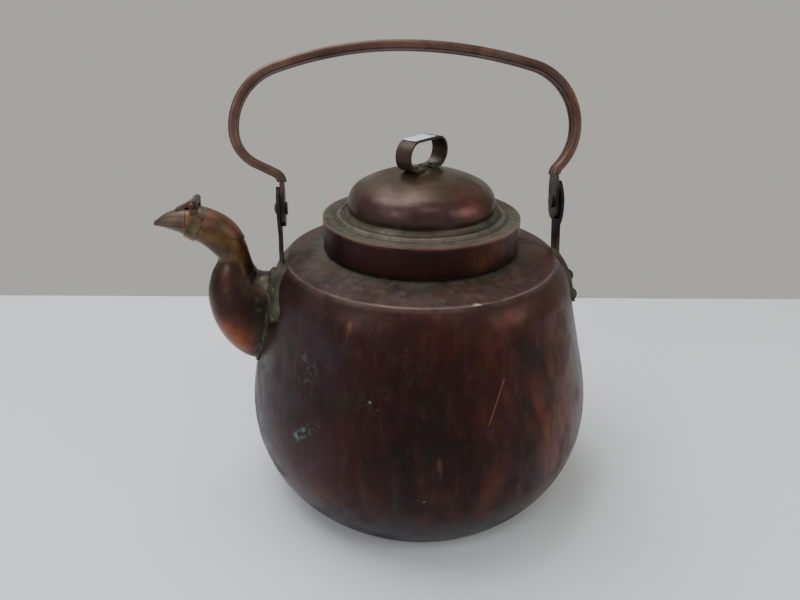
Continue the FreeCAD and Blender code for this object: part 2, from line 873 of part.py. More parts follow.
root_level = crease_level - given("root_drop")
root_reach = cone_side_radius(root_level)
split_level = root_level + given("split_rise")
split_reach = root_reach + given("split_outset")
hinge_level = root_level + given("hinge_rise") + given("throat_radius")
hinge_reach = root_reach + given("hinge_outset")


def spout_stations():
    """Ellipses along the spout: centre x and z, direction of flow, half depth and half width."""
    out = root_reach
    level = root_level
    tall = given("root_half_height")
    wide = given("root_half_width")
    throat = given("throat_radius")
    return [
        (-(out - 18.3), level, 180.0, tall, wide),
        (-(out - 4.3), level, 180.0, tall, wide),
        (-(out + 5.7), level + 0.7, 168.0, tall, wide + 0.8),
        (-(out + 14.9), level + 8.7, 152.0, tall - 4.3, wide + 0.6),
        (-(out + 19.5), level + 23.5, 123.0, throat + 8.4, throat + 8.2),
        (-(out + 18.0), level + 34.0, 101.0, throat + 3.2, throat + 3.1),
        (-(out + 16.2), level + 41.0, 93.0, throat, throat),
        (-(out + 19.1), level + 49.4, 110.0, throat + 0.7, throat + 0.4),
        (-(out + 24.9), level + 57.3, 123.0, throat + 1.6, throat + 0.6),
        (-(out + 33.2), level + 62.8, 138.0, throat + 1.1, throat + 0.4),
        (-(out + 42.7), level + 66.4, 153.0, throat - 1.05, throat - 1.1),
        (-(out + 53.9), level + 66.6, 164.0, throat - 4.9, throat - 5.0),
        (-(out + 61.5), level + 64.9, 166.0, throat - 8.5, throat - 8.5),
    ]


def smooth_station(stations, steps, step):
    """Station at a distance along the spout, by cubic blending between the given ones."""
    last = len(stations) - 1
    index = max(i for i in range(last) if steps[i] <= step or i == 0)
    span = steps[index + 1] - steps[index]
    part = (step - steps[index]) / span

    def slope(i, column):
        low, high = max(i - 1, 0), min(i + 1, last)
        return (stations[high][column] - stations[low][column]) / (steps[high] - steps[low])

    return [
        stations[index][c] * (1.0 + 2.0 * part) * (1.0 - part) ** 2
        + stations[index + 1][c] * part ** 2 * (3.0 - 2.0 * part)
        + slope(index, c) * span * part * (1.0 - part) ** 2
        - slope(index + 1, c) * span * part ** 2 * (1.0 - part)
        for c in range(5)
    ]


def spout_loft(name, offset):
    """Smooth solid through the spout's stations, with every ellipse enlarged by an offset.

    Lofting ellipses this unequal folds over itself, so the skin is one surface through the rings of a
    finer set of stations, and the shape is set from these sizes directly.
    """
    stations = [[as_size(v).value for v in station] for station in spout_stations()]
    steps = [0.0]
    for before, after in zip(stations, stations[1:]):
        steps.append(steps[-1] + math.hypot(after[0] - before[0], after[1] - before[1]))
    grid = []
    for number in range(SPOUT_RINGS + 1):
        step = steps[-1] * number / SPOUT_RINGS
        x, z, flow, deep, wide = smooth_station(stations, steps, step)
        centre = FreeCAD.Vector(x, 0, z)
        across = FreeCAD.Vector(math.sin(math.radians(flow)), 0, -math.cos(math.radians(flow)))
        ring = []
        for spoke in range(SPOUT_SPOKES + 1):
            turn = 2.0 * math.pi * spoke / SPOUT_SPOKES
            sideways = FreeCAD.Vector(0, (wide + offset.value) * math.sin(turn), 0)
            ring.append(centre - across * ((deep + offset.value) * math.cos(turn)) + sideways)
        ring[-1] = ring[0]
        grid.append(ring)
    skin = Part.BSplineSurface()
    skin.interpolate(grid)
    first, last = skin.bounds()[0:2]
    ends = [Part.Face(Part.Wire(skin.uIso(u).toShape())) for u in (first, last)]
    shell = Part.makeShell([skin.toShape(), *ends])
    shell.sewShape()
    solid = Part.makeSolid(Part.Shell(shell.Faces))
    if solid.Volume < 0:
        solid.reverse()
    item = doc.addObject("Part::Feature", name)
    item.Shape = solid
    return item


def box(name, low, high):
    """Box between two bound corners."""
    item = doc.addObject("Part::Box", name)
    low = [as_size(v) for v in low]
    high = [as_size(v) for v in high]
    for prop, small, large in zip(("Length", "Width", "Height"), low, high):
        bind(item, prop, large - small)
    place(item, *low)
    return item


def make_spout(core):
    """Hollow gooseneck, its beak cut open above where the flap lies, and the bore through it."""
    solid = spout_loft("spout_outside", NONE)
    bore = spout_loft("spout_bore", -given("spout_gauge"))
    shell = cut("spout_hollow", solid, bore)
    half = given("root_half_width")
    mouth = box("spout_mouth", (-(split_reach + half), -half, split_level),
                (-split_reach, half, split_level + half))
    spout = cut("spout_open", cut("spout_trimmed", shell, core), mouth)
    return solid, bore, shell, spout


def make_root_flange(band, spout_solid):
    """Thin soldered flange round the spout's root, lying on the wall."""
    margin = given("root_flange_margin")
    ring = doc.addObject("Part::Ellipse", "root_ring")
    bind(ring, "MajorRadius", given("root_half_height") + margin)
    bind(ring, "MinorRadius", given("root_half_width") + margin)
    place(ring, -(belly_radius * 1.2), NONE, root_level, FreeCAD.Vector(0, 1, 0), as_size(90.0))
    plug = doc.addObject("Part::Extrusion", "root_plug")
    plug.Base = ring
    plug.DirMode = "Custom"
    plug.Dir = FreeCAD.Vector(1, 0, 0)
    plug.Solid = True
    bind(plug, "LengthFwd", belly_radius * 0.8)
    return cut("root_flange", common("root_skin", band, plug), spout_solid)


def make_top_plate(spout_solid, hinge_band):
    """Overlapping plate on the back of the neck, from the hinge down to the bend."""
    jacket = spout_loft("plate_jacket", given("top_plate_gauge"))
    half = given("root_half_width")
    front, bend, back = root_reach + 31.7, root_reach + 15.7, root_reach + 3.7
    top = hinge_level + 7.0
    corners = [
        (-front, root_level + 64.1),
        (-bend, root_level + 56.9),
        (-back, root_level + 51.5),
        (-back, top),
        (-front, top),
    ]
    region = padded("plate_region", "XZ_Plane", corners, -half, half * 2.0)
    plate = cut("plate_fitted", common("plate_skin", jacket, region), spout_solid)
    return cut("top_plate", plate, hinge_band)


def hinge_bar(name, radius, start, length):
    """Round bar on the hinge's axis, from y = start towards +Y."""
    bar = cylinder(name, radius, length)
    place(bar, -hinge_reach, start + length, hinge_level, FreeCAD.Vector(1, 0, 0), as_size(90.0))
    return bar


def make_hinge(spout_solid):
    """Band round the spout with two knuckles, between which the flap's own knuckle turns."""
    radius = given("knuckle_radius")
    length = given("knuckle_length")
    gap = given("body_gap")
    side_length = length * 0.65
    width = given("band_width")
    half = given("root_half_width")
    lean = as_size(30.0)
    middle_x, middle_z = -(hinge_reach + gap * 2.0), hinge_level - radius * 5.65
    slab = box("band_slab", (NONE, -half, NONE), (width, half, half * 2.0))
    place(slab, middle_x - width / 2.0 * cosine(lean) - sine(lean) * half, -half,
          middle_z + width / 2.0 * sine(lean) - cosine(lean) * half, FreeCAD.Vector(0, 1, 0), lean)
    band = common("band_skin", spout_loft("band_jacket", given("band_gauge")), slab)
    bars, feet = [], []
    for number, low in enumerate((length / 2.0 + gap, -(length / 2.0 + gap + side_length))):
        bars.append(hinge_bar(f"band_knuckle_{number}", radius, low, side_length))
        feet.append(box(f"band_foot_{number}", (-(hinge_reach + radius), low, hinge_level - radius * 3.5),
                        (-(hinge_reach - radius), low + side_length, hinge_level)))
    pin_hole = hinge_bar("band_pin_hole", given("pin_radius"), -(length * 2.0), length * 4.0)
    whole = fuse("band_and_knuckles", band, *bars, *feet)
    return cut("hinge_band", cut("band_fitted", whole, spout_solid), pin_hole)


def make_flap(shell):
    """Hood over the open beak, with a tail that rolls round the hinge pin."""
    radius = given("knuckle_radius")
    length = given("knuckle_length")
    gap = given("body_gap")
    half = given("root_half_width")
    reach = split_reach + gap
    low = split_level + gap
    region = box("flap_region", (-(reach + half), -half, low), (-reach, half, low + half))
    hood = common("flap_hood", shell, region)
    bar = hinge_bar("flap_knuckle", radius, -(length / 2.0), length)
    tail = padded("flap_tail", "XZ_Plane", [
        (-hinge_reach, hinge_level + radius),
        (-hinge_reach, hinge_level - radius * 0.8),
        (-reach, hinge_level - radius * 1.2),
        (-(reach + gap * 2.0), hinge_level - radius * 1.8),
        (-(reach + radius * 2.6), hinge_level - radius * 2.2),
        (-(reach + radius * 2.7), hinge_level - radius * 1.6),
        (-(reach + gap), hinge_level - radius * 0.4),
    ], -(length / 2.0), length)
    hole = hinge_bar("flap_pin_hole", given("pin_radius") + given("running_clearance"), -(length * 2.0),
                     length * 4.0)
    return cut("flap", fuse("flap_whole", hood, bar, tail), hole)


def make_hinge_pin():
    """Pin with a small ball on each end."""
    half = given("knuckle_length") * 1.15 + given("body_gap") + given("pin_ball") * 0.87
    balls = []
    for number, sign in enumerate((1.0, -1.0)):
        ball = doc.addObject("Part::Sphere", f"pin_ball_{number}")
        bind(ball, "Radius", given("pin_ball"))
        place(ball, -hinge_reach, half * sign, hinge_level)
        balls.append(ball)
    return fuse("pin", hinge_bar("pin_rod", given("pin_radius"), -half, half * 2.0), *balls)


# ---------------------------------------------------------------- the kettle

def build():
    """Make every piece and give it its name."""
    core = make_core()
    wall = make_body_wall()
    spout_solid, bore, shell, spout = make_spout(core)
    left_rivets, left_drills = make_strap_rivets("left", -1.0)
    right_rivets, right_drills = make_strap_rivets("right", 1.0)
    strap_band = make_band("strap_band", given("bracket_gauge"))
    flange_band = make_band("flange_band", given("root_flange_gauge"))
    wall_open = cut("wall_open", wall, bore)
    wall_drilled = cut("wall_drilled", cut("wall_left", wall_open, left_drills), right_drills)
    piece("body_wall", wall_drilled)
    piece("base_pan", make_base_pan())
    piece("shoulder_plate", make_shoulder())
    piece("neck_collar", make_collar())
    piece("spout_neck", spout)
    piece("spout_root_flange", make_root_flange(flange_band, spout_solid))
    hinge_band = piece("flap_hinge_band", make_hinge(spout_solid))
    piece("spout_top_plate", make_top_plate(spout_solid, hinge_band))
    piece("spout_flap", make_flap(shell))
    piece("flap_hinge_pin", make_hinge_pin())
    piece("bracket_left", make_bracket("left", -1.0, core, strap_band, left_drills))
    piece("bracket_right", make_bracket("right", 1.0, core, strap_band, right_drills))
    piece("bracket_rivets_left", compound("left_rivets", *left_rivets))
    piece("bracket_rivets_right", compound("right_rivets", *right_rivets))
    piece("pivot_rivet_left", make_pivot_rivet("left", -1.0))
    piece("pivot_rivet_right", make_pivot_rivet("right", 1.0))
    piece("bail_handle", make_bail())
    loop_rivets, loop_drills = make_loop_rivets()
    lid_blank = make_lid_top()
    piece("lid_top", cut("lid_top_drilled", lid_blank, loop_drills))
    piece("lid_skirt", make_lid_skirt())
    piece("lid_loop", make_lid_loop(lid_blank, loop_drills))
    piece("lid_loop_rivets", compound("loop_rivets", *loop_rivets))


def check_model():
    """Stop if any feature failed or any piece is not a sound solid."""
    failed = [item.Name for item in doc.Objects if {"Invalid", "Error"} & set(item.State)]
    if failed:
        raise SystemExit(f"failed features: {', '.join(failed)}")
    for node, item in pieces.items():
        shape = item.Shape
        if shape.isNull() or not shape.isValid() or not shape.Solids:
            raise SystemExit(f"{node} is not a valid solid")


build()
doc.recompute()
check_model()
os.makedirs("parts", exist_ok=True)
for node, item in pieces.items():
    item.Shape.exportStep(os.path.join("parts", f"{node}.step"))
    print(f"{node}: {len(item.Shape.Solids)} solid(s), {item.Shape.Volume:.0f} mm3")
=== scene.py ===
import math

import bmesh
import bpy
from mathutils import Matrix, Vector, noise
from mathutils.bvhtree import BVHTree


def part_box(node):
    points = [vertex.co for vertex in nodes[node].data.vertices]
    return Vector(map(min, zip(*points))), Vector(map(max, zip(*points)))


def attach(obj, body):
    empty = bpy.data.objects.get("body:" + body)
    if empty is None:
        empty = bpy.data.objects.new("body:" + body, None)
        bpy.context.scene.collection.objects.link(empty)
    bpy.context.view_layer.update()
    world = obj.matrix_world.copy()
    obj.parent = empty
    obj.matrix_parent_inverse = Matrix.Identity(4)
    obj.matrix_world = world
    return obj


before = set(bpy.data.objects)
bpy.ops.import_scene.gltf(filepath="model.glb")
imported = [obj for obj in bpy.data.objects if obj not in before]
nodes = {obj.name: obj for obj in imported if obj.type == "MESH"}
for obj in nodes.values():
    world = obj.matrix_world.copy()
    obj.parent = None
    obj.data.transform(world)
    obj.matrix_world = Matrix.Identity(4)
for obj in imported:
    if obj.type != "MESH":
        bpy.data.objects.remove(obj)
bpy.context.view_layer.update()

# ------------------------------------------------------------------ colours, linear

OXBLOOD = (0.072, 0.020, 0.015)
BURNT = (0.150, 0.042, 0.018)
COPPER = (0.300, 0.095, 0.038)
SLATE = (0.060, 0.052, 0.056)
UMBER = (0.075, 0.042, 0.028)
BRONZE = (0.150, 0.082, 0.040)
BRASSY = (0.255, 0.140, 0.045)
OLIVE = (0.085, 0.075, 0.045)
DUSTY = (0.150, 0.125, 0.095)
VERDIGRIS = (0.075, 0.150, 0.120)
TEAL = (0.085, 0.140, 0.130)
GREYGREEN = (0.110, 0.118, 0.085)
CHALK = (0.420, 0.380, 0.320)
TAN = (0.190, 0.135, 0.085)
# near-black for grime, also used as painted shade in grooves and under the lid skirt
SOOT_AND_SHADE = (0.012, 0.008, 0.007)


# ------------------------------------------------------------------ materials

class Finish:
    """Builds one material from position-based layers, in the piece's own coordinates."""

    def __init__(self, name, metallic=0.72, roughness=0.40, coat=0.12, gloss=0.35):
        self.material = bpy.data.materials.new(name)
        self.material.use_nodes = True
        self.tree = self.material.node_tree
        self.tree.nodes.clear()
        self.output = self.add("ShaderNodeOutputMaterial")
        self.shader = self.add("ShaderNodeBsdfPrincipled")
        self.tree.links.new(self.shader.outputs[0], self.output.inputs[0])
        self.shader.inputs["Coat Weight"].default_value = coat
        self.shader.inputs["Specular IOR Level"].default_value = gloss
        self.shader.inputs["Coat Roughness"].default_value = 0.32
        self.position = self.add("ShaderNodeTexCoord").outputs["Object"]
        split = self.add("ShaderNodeSeparateXYZ")
        self.tree.links.new(self.position, split.inputs[0])
        self.x, self.y, self.z = split.outputs
        self.base_roughness = roughness
        self.base_metal = metallic
        self.rough = None
        self.metal = None
        self.colour = None
        self.height = None

    def add(self, kind):
        return self.tree.nodes.new(kind)

    def put(self, socket, value):
        if isinstance(value, bpy.types.NodeSocket):
            self.tree.links.new(value, socket)
        elif hasattr(value, "__len__") and len(value) == 3 and socket.type == "RGBA":
            socket.default_value = (*value, 1.0)
        else:
            socket.default_value = value

    def math(self, operation, first, second=0.0, clamp=False):
        node = self.add("ShaderNodeMath")
        node.operation = operation
        node.use_clamp = clamp
        self.put(node.inputs[0], first)
        self.put(node.inputs[1], second)
        return node.outputs[0]

    def window(self, value, low, high, to_low=0.0, to_high=1.0):
        """Smooth step from to_low at low to to_high at high."""
        node = self.add("ShaderNodeMapRange")
        node.interpolation_type = "SMOOTHSTEP"
        self.put(node.inputs["Value"], value)
        for key, number in (("From Min", low), ("From Max", high), ("To Min", to_low), ("To Max", to_high)):
            node.inputs[key].default_value = number
        return node.outputs[0]

    def stretched(self, stretch, shift=(0.0, 0.0, 0.0)):
        node = self.add("ShaderNodeMapping")
        node.inputs["Scale"].default_value = stretch
        node.inputs["Location"].default_value = shift
        self.put(node.inputs["Vector"], self.position)
        return node.outputs[0]

    def cloud(self, scale, detail=5.0, stretch=(1.0, 1.0, 1.0), shift=(0.0, 0.0, 0.0), twist=0.0):
        """Noise of about 1/scale metres, from 0 to 1."""
        node = self.add("ShaderNodeTexNoise")
        node.inputs["Scale"].default_value = scale
        node.inputs["Detail"].default_value = detail
        node.inputs["Distortion"].default_value = twist
        self.put(node.inputs["Vector"], self.stretched(stretch, shift))
        return node.outputs[0]

    def cells(self, scale, shift=(0.0, 0.0, 0.0)):
        """Distance to scattered points, for specks and pits."""
        node = self.add("ShaderNodeTexVoronoi")
        node.inputs["Scale"].default_value = scale
        self.put(node.inputs["Vector"], self.stretched((1.0, 1.0, 1.0), shift))
        return node.outputs["Distance"]

    def near(self, centre, inner, outer, squash=(1.0, 1.0, 1.0)):
        """One inside an ellipsoid round a point, falling softly to zero outside it."""
        shift = tuple(-c * s for c, s in zip(centre, squash))
        node = self.add("ShaderNodeVectorMath")
        node.operation = "LENGTH"
        self.put(node.inputs[0], self.stretched(squash, shift))
        return self.window(node.outputs["Value"], inner, outer, 1.0, 0.0)

    def band(self, value, middle, half, soft):
        """One where a value lies within half of middle."""
        off = self.math("ABSOLUTE", self.math("SUBTRACT", value, middle))
        return self.window(off, half, half + soft, 1.0, 0.0)

    def radius(self):
        """Distance from the upright axis."""
        x_square = self.math("MULTIPLY", self.x, self.x)
        y_square = self.math("MULTIPLY", self.y, self.y)
        return self.math("SQRT", self.math("ADD", x_square, y_square))

    def times(self, *values):
        result = values[0]
        for value in values[1:]:
            result = self.math("MULTIPLY", result, value)
        return result

    def paint(self, colour, mask=None):
        """Lay a colour over what is there, through a mask."""
        if self.colour is None:
            self.colour = colour
            return
        node = self.add("ShaderNodeMix")
        node.data_type = "RGBA"
        self.put(node.inputs["Factor"], mask)
        self.put(node.inputs[6], self.colour)
        self.put(node.inputs[7], colour)
        self.colour = node.outputs[2]

    def shade(self, amount, mask):
        """Change the roughness by an amount through a mask."""
        current = self.base_roughness if self.rough is None else self.rough
        self.rough = self.math("ADD", current, self.math("MULTIPLY", mask, amount), clamp=True)

    def bare(self, amount, mask):
        """Show more bare metal through a mask."""
        current = self.base_metal if self.metal is None else self.metal
        self.metal = self.math("ADD", current, self.math("MULTIPLY", mask, amount), clamp=True)

    def raise_by(self, value, amount):
        """Add to the height that drives the bump, in metres."""
        scaled = self.math("MULTIPLY", value, amount)
        self.height = scaled if self.height is None else self.math("ADD", self.height, scaled)

    def done(self, strength=0.6):
        self.put(self.shader.inputs["Base Color"], self.colour)
        self.put(self.shader.inputs["Roughness"], self.base_roughness if self.rough is None else self.rough)
        self.put(self.shader.inputs["Metallic"], self.base_metal if self.metal is None else self.metal)
        if self.height is not None:
            bump = self.add("ShaderNodeBump")
            bump.inputs["Strength"].default_value = strength
            bump.inputs["Distance"].default_value = 1.0
            self.put(bump.inputs["Height"], self.height)
            self.put(self.shader.inputs["Normal"], bump.outputs[0])
        return self.material


def aged(finish, specks=1.0, grime=0.5, verdigris=0.3, streaks=0.5):
    """The wear every piece shares: fine specks, grime clouds, small verdigris crusts, soft unevenness."""
    fine = finish.cloud(420.0, 3.0, shift=(0.3, 0.1, 0.7))
    mottle = finish.cloud(150.0, 6.0, (1.0, 1.0, 0.7), (8.0, 2.0, 6.0), 0.4)
    finish.paint(SOOT_AND_SHADE, finish.times(finish.window(mottle, 0.50, 0.68), 0.30 * (0.6 + grime)))
    finish.paint(DUSTY, finish.times(finish.window(mottle, 0.46, 0.32), 0.08 * specks))
    broad = finish.cloud(38.0, 6.0, shift=(1.3, 0.4, 2.7))
    dirt = finish.window(broad, 0.47, 0.66)
    finish.paint(SOOT_AND_SHADE, finish.times(dirt, grime))
    runs = finish.window(finish.cloud(60.0, 4.0, (1.0, 1.0, 0.12), (4.0, 2.0, 0.0)), 0.50, 0.72)
    finish.paint(DUSTY, finish.times(runs, streaks * 0.22))
    crust = finish.times(finish.window(finish.cloud(26.0, 7.0, shift=(7.0, 3.0, 1.0)), 0.60, 0.70),
                         finish.window(fine, 0.42, 0.60))
    finish.paint(VERDIGRIS, finish.times(crust, verdigris))
    dust = finish.times(finish.window(finish.cells(620.0, (2.0, 5.0, 1.0)), 0.10, 0.24, 1.0, 0.0),
                        finish.window(finish.cloud(120.0, 4.0, shift=(3.0, 9.0, 4.0)), 0.52, 0.66))
    finish.paint(CHALK, finish.times(dust, 0.20 * specks))
    spots = finish.times(finish.window(finish.cells(330.0, (1.0, 4.0, 3.0)), 0.04, 0.16, 1.0, 0.0),
                         finish.window(finish.cloud(44.0, 5.0, shift=(9.0, 4.0, 4.0)), 0.58, 0.72))
    finish.paint(CHALK, finish.times(spots, 0.30 * specks))
    finish.shade(0.16, dirt)
    finish.shade(0.25, crust)
    finish.shade(0.12, fine)
    finish.raise_by(finish.cloud(24.0, 3.0, shift=(5.0, 5.0, 5.0)), 0.0016)
    finish.raise_by(fine, 0.00006)
    finish.raise_by(crust, 0.00012)


def scratch(finish, start, end, width, strength=0.8, colour=COPPER, ragged=None):
    """A bright scratch, or a ragged streak of another colour, between two points on the surface."""
    first, last = Vector(start), Vector(end)
    along = (last - first).normalized()
    middle = (first + last) * 0.5
    half = (last - first).length * 0.5
    shifted = finish.stretched((1.0, 1.0, 1.0), tuple(-middle))
    dot = finish.add("ShaderNodeVectorMath")
    dot.operation = "DOT_PRODUCT"
    finish.put(dot.inputs[0], shifted)
    dot.inputs[1].default_value = along
    length = finish.add("ShaderNodeVectorMath")
    length.operation = "LENGTH"
    finish.put(length.inputs[0], shifted)
    run = dot.outputs["Value"]
    reach = length.outputs["Value"]
    square = finish.math("SUBTRACT", finish.math("MULTIPLY", reach, reach), finish.math("MULTIPLY", run, run))
    off = finish.math("SQRT", finish.math("MAXIMUM", square, 0.0))
    mask = finish.times(finish.window(off, width * 0.3, width, 1.0, 0.0),
                        finish.window(finish.math("ABSOLUTE", run), half * 0.75, half, 1.0, 0.0), strength)
    finish.paint(colour, mask if ragged is None else finish.times(mask, ragged))


def body_finish():
    f = Finish("body_patina", metallic=0.30, roughness=0.29, coat=0.0, gloss=0.16)
    f.paint((0.0150, 0.0040, 0.0042))
    broad = f.cloud(15.0, 5.0, (1.0, 1.0, 0.7), (2.2, 0.6, 0.1), 0.6)
    f.paint((0.034, 0.0080, 0.0074), f.window(broad, 0.38, 0.68))
    right = f.near((0.060, -0.098, 0.092), 0.002, 0.092, (0.9, 1.0, 0.58))
    low_right = f.near((0.020, -0.114, 0.050), 0.002, 0.060, (0.75, 1.0, 1.1))
    back = f.times(f.window(f.cloud(9.0, 3.0, shift=(6.0, 1.0, 3.0)), 0.50, 0.70), f.window(f.y, -0.04, 0.03))
    left = f.times(f.near((-0.078, -0.088, 0.052), 0.004, 0.036), 0.35)
    warm = f.math("MAXIMUM", f.math("MAXIMUM", right, low_right), f.math("MAXIMUM", back, left))
    patchy = f.window(f.cloud(34.0, 7.0, (1.0, 1.0, 0.30), (0.4, 8.0, 2.0), 0.7), 0.34, 0.66)
    f.paint((0.120, 0.0320, 0.0185), f.times(warm, patchy, 0.95))
    glow = f.times(warm, f.window(f.cloud(44.0, 7.0, (1.0, 1.0, 0.42), (9.0, 2.0, 6.0), 0.6), 0.52, 0.74))
    f.paint((0.185, 0.057, 0.028), f.times(glow, 0.46))
    brushed = f.cloud(230.0, 5.0, (1.0, 1.0, 0.05), (2.0, 6.0, 1.0))
    f.paint(SOOT_AND_SHADE, f.times(f.window(brushed, 0.50, 0.66), 0.34))
    f.paint((0.080, 0.042, 0.038), f.times(f.window(brushed, 0.46, 0.34), 0.20))
    f.bare(0.40, f.times(warm, patchy))
    centre = f.near((-0.012, -0.112, 0.098), 0.012, 0.060, (1.0, 1.0, 0.8))
    dark = f.times(centre, f.window(f.cloud(20.0, 4.0, shift=(1.0, 7.0, 7.0)), 0.30, 0.60))
    f.paint((0.0070, 0.0035, 0.0035), f.times(dark, 0.75))
    upper_left = f.near((-0.066, -0.072, 0.142), 0.006, 0.034, (1.0, 1.0, 0.7))
    plum = f.math("MAXIMUM", upper_left, f.near((-0.095, -0.060, 0.075), 0.02, 0.06))
    plum_patch = f.window(f.cloud(36.0, 5.0, (1.0, 1.0, 0.3)), 0.30, 0.60)
    f.paint((0.036, 0.020, 0.028), f.times(plum, plum_patch, 0.85))
    uneven = f.math("ADD", f.z, f.math("MULTIPLY", f.cloud(22.0, 4.0), 0.030))
    f.paint((0.024, 0.0195, 0.025), f.times(f.window(uneven, 0.066, 0.030), 0.80))
    top = f.window(f.z, 0.140, 0.160)
    top_patch = f.window(f.cloud(30.0, 5.0, (1.0, 1.0, 0.4)), 0.35, 0.65)
    f.paint((0.045, 0.024, 0.018), f.times(top, top_patch, 0.65))
    fine = f.cloud(300.0, 4.0, shift=(0.0, 3.0, 3.0))
    drips = f.math("MAXIMUM", f.near((-0.0492, -0.081, 0.150), 0.0002, 0.0027, (1.0, 1.0, 0.16)),
                   f.near((-0.0033, -0.1125, 0.077), 0.0002, 0.0027, (1.0, 1.0, 0.24)))
    drip_patch = f.window(f.cloud(190.0, 6.0, (1.0, 1.0, 0.3)), 0.38, 0.60)
    f.paint((0.150, 0.056, 0.030), f.times(drips, drip_patch, 0.75))
    crumbs = f.window(f.cloud(110.0, 6.0, shift=(5.0, 0.0, 2.0)), 0.42, 0.58)
    ragged = f.times(f.window(fine, 0.42, 0.62), crumbs)
    f.paint(TEAL, f.times(f.near((-0.0750, -0.070, 0.121), 0.0005, 0.013), ragged, 0.9))
    scratch(f, (-0.0835, -0.0755, 0.0760), (-0.0680, -0.0872, 0.0930), 0.0040, 0.9, TEAL, ragged)
    for place in ((-0.0395, -0.0965, 0.1122), (-0.0113, -0.1142, 0.0556), (-0.0352, -0.0985, 0.1085)):
        f.paint(CHALK, f.times(f.near(place, 0.0002, 0.0012), f.window(fine, 0.34, 0.58), 0.45))
    root_side = f.near((-0.098, 0.0, 0.121), 0.026, 0.036, (0.6, 1.15, 0.92))
    f.paint(OLIVE, f.times(root_side, f.window(f.cloud(140.0, 4.0), 0.36, 0.58), 0.75))
    scratch(f, (0.0344, -0.0952, 0.1236), (0.0244, -0.1051, 0.0971), 0.0008, 0.65)
    scratch(f, (0.0390, -0.0940, 0.1120), (0.0365, -0.0985, 0.1000), 0.0006, 0.4)
    scratch(f, (0.0900, 0.0400, 0.1100), (0.0840, 0.0560, 0.0950), 0.0007, 0.5)
    scratch(f, (-0.0300, 0.1040, 0.1000), (-0.0120, 0.1100, 0.0860), 0.0007, 0.5)
    aged(f, specks=0.55, grime=0.25, verdigris=0.06, streaks=0.12)
    # worn crease at the top of the wall, with a painted highlight line along it
    crease_wear_and_highlight = f.window(f.z, 0.1590, 0.1612)
    f.paint((0.085, 0.058, 0.052), f.times(crease_wear_and_highlight, f.window(f.cloud(55.0, 4.0), 0.30, 0.62), 0.7))
    f.shade(-0.08, crease_wear_and_highlight)
    return f.done(0.55)


def base_finish():
    f = Finish("base_patina", metallic=0.35, roughness=0.36, coat=0.0, gloss=0.20)
    f.paint((0.024, 0.014, 0.016))
    f.paint((0.026, 0.021, 0.023), f.window(f.cloud(24.0, 5.0), 0.35, 0.65))
    warm = f.window(f.cloud(16.0, 5.0, shift=(1.0, 4.0, 0.0)), 0.56, 0.72)
    f.paint((0.060, 0.018, 0.010), f.times(warm, 0.6))
    seam = f.band(f.z, 0.0138, 0.0003, 0.0007)
    f.paint(GREYGREEN, f.times(seam, f.window(f.cloud(130.0, 4.0), 0.35, 0.6), 0.8))
    foot = f.window(f.z, 0.006, 0.0)
    f.paint(UMBER, f.times(foot, 0.7))
    aged(f, specks=0.8, grime=0.6, verdigris=0.25, streaks=0.4)
    return f.done(0.6)


def shoulder_finish():
    f = Finish("shoulder_patina", metallic=0.45, roughness=0.44, coat=0.0, gloss=0.25)
    f.paint((0.058, 0.033, 0.028))
    f.paint((0.044, 0.036, 0.036), f.window(f.cloud(30.0, 6.0, shift=(3.0, 3.0, 0.0)), 0.38, 0.66))
    f.paint(UMBER, f.times(f.window(f.cloud(17.0, 4.0, shift=(8.0, 1.0, 0.0)), 0.45, 0.66), 0.8))
    r = f.radius()
    f.paint(GREYGREEN, f.times(f.window(r, 0.071, 0.0605), f.window(f.cloud(48.0, 5.0), 0.32, 0.60), 0.85))
    # painted shadow: dark ring on the shoulder just under the lid skirt's lower edge
    f.paint(SOOT_AND_SHADE, f.times(f.window(r, 0.0645, 0.0612), 0.65))
    outer_patch = f.window(f.cloud(26.0, 6.0, shift=(4.0, 4.0, 0.0)), 0.30, 0.56)
    outer = f.times(f.window(r, 0.0690, 0.0790), outer_patch)
    f.paint((0.052, 0.0235, 0.0215), f.times(outer, 0.75))
    grain = f.cloud(260.0, 5.0, shift=(2.0, 2.0, 6.0))
    f.paint(SOOT_AND_SHADE, f.times(f.window(grain, 0.50, 0.68), 0.40))
    f.paint(DUSTY, f.times(f.window(grain, 0.44, 0.32), 0.16))
    left = f.near((-0.066, -0.010, 0.164), 0.010, 0.040)
    left_patch = f.window(f.cloud(36.0, 5.0, shift=(2.0, 8.0, 2.0)), 0.40, 0.66)
    f.paint((0.088, 0.058, 0.044), f.times(left, left_patch, 0.7))
    right = f.near((0.070, -0.020, 0.164), 0.008, 0.035)
    f.paint(OXBLOOD, f.times(right, 0.5))
    aged(f, specks=1.3, grime=0.30, verdigris=0.30, streaks=0.2)
    # worn edge at the crease, with a painted highlight that grows brighter towards the front
    edge = f.window(r, 0.0840, 0.0860)
    front = f.window(f.y, 0.01, -0.07, 0.45, 0.95)
    f.paint((0.160, 0.098, 0.088), f.times(edge, f.window(f.cloud(40.0, 4.0), 0.25, 0.60), front))
    f.paint(CHALK, f.times(f.near((0.0197, -0.084, 0.1615), 0.0004, 0.0030, (0.8, 1.0, 1.0)),
                           f.window(f.cloud(420.0, 4.0, shift=(1.0, 1.0, 2.0)), 0.34, 0.50), 0.85))
    f.shade(-0.14, edge)
    return f.done(0.6)


def collar_finish():
    f = Finish("collar_patina", metallic=0.75, roughness=0.38)
    f.paint(UMBER)
    f.paint(COPPER, f.times(f.window(f.cloud(30.0, 5.0), 0.45, 0.70), 0.7))
    aged(f, specks=0.6, grime=0.5, verdigris=0.45, streaks=0.8)
    return f.done()


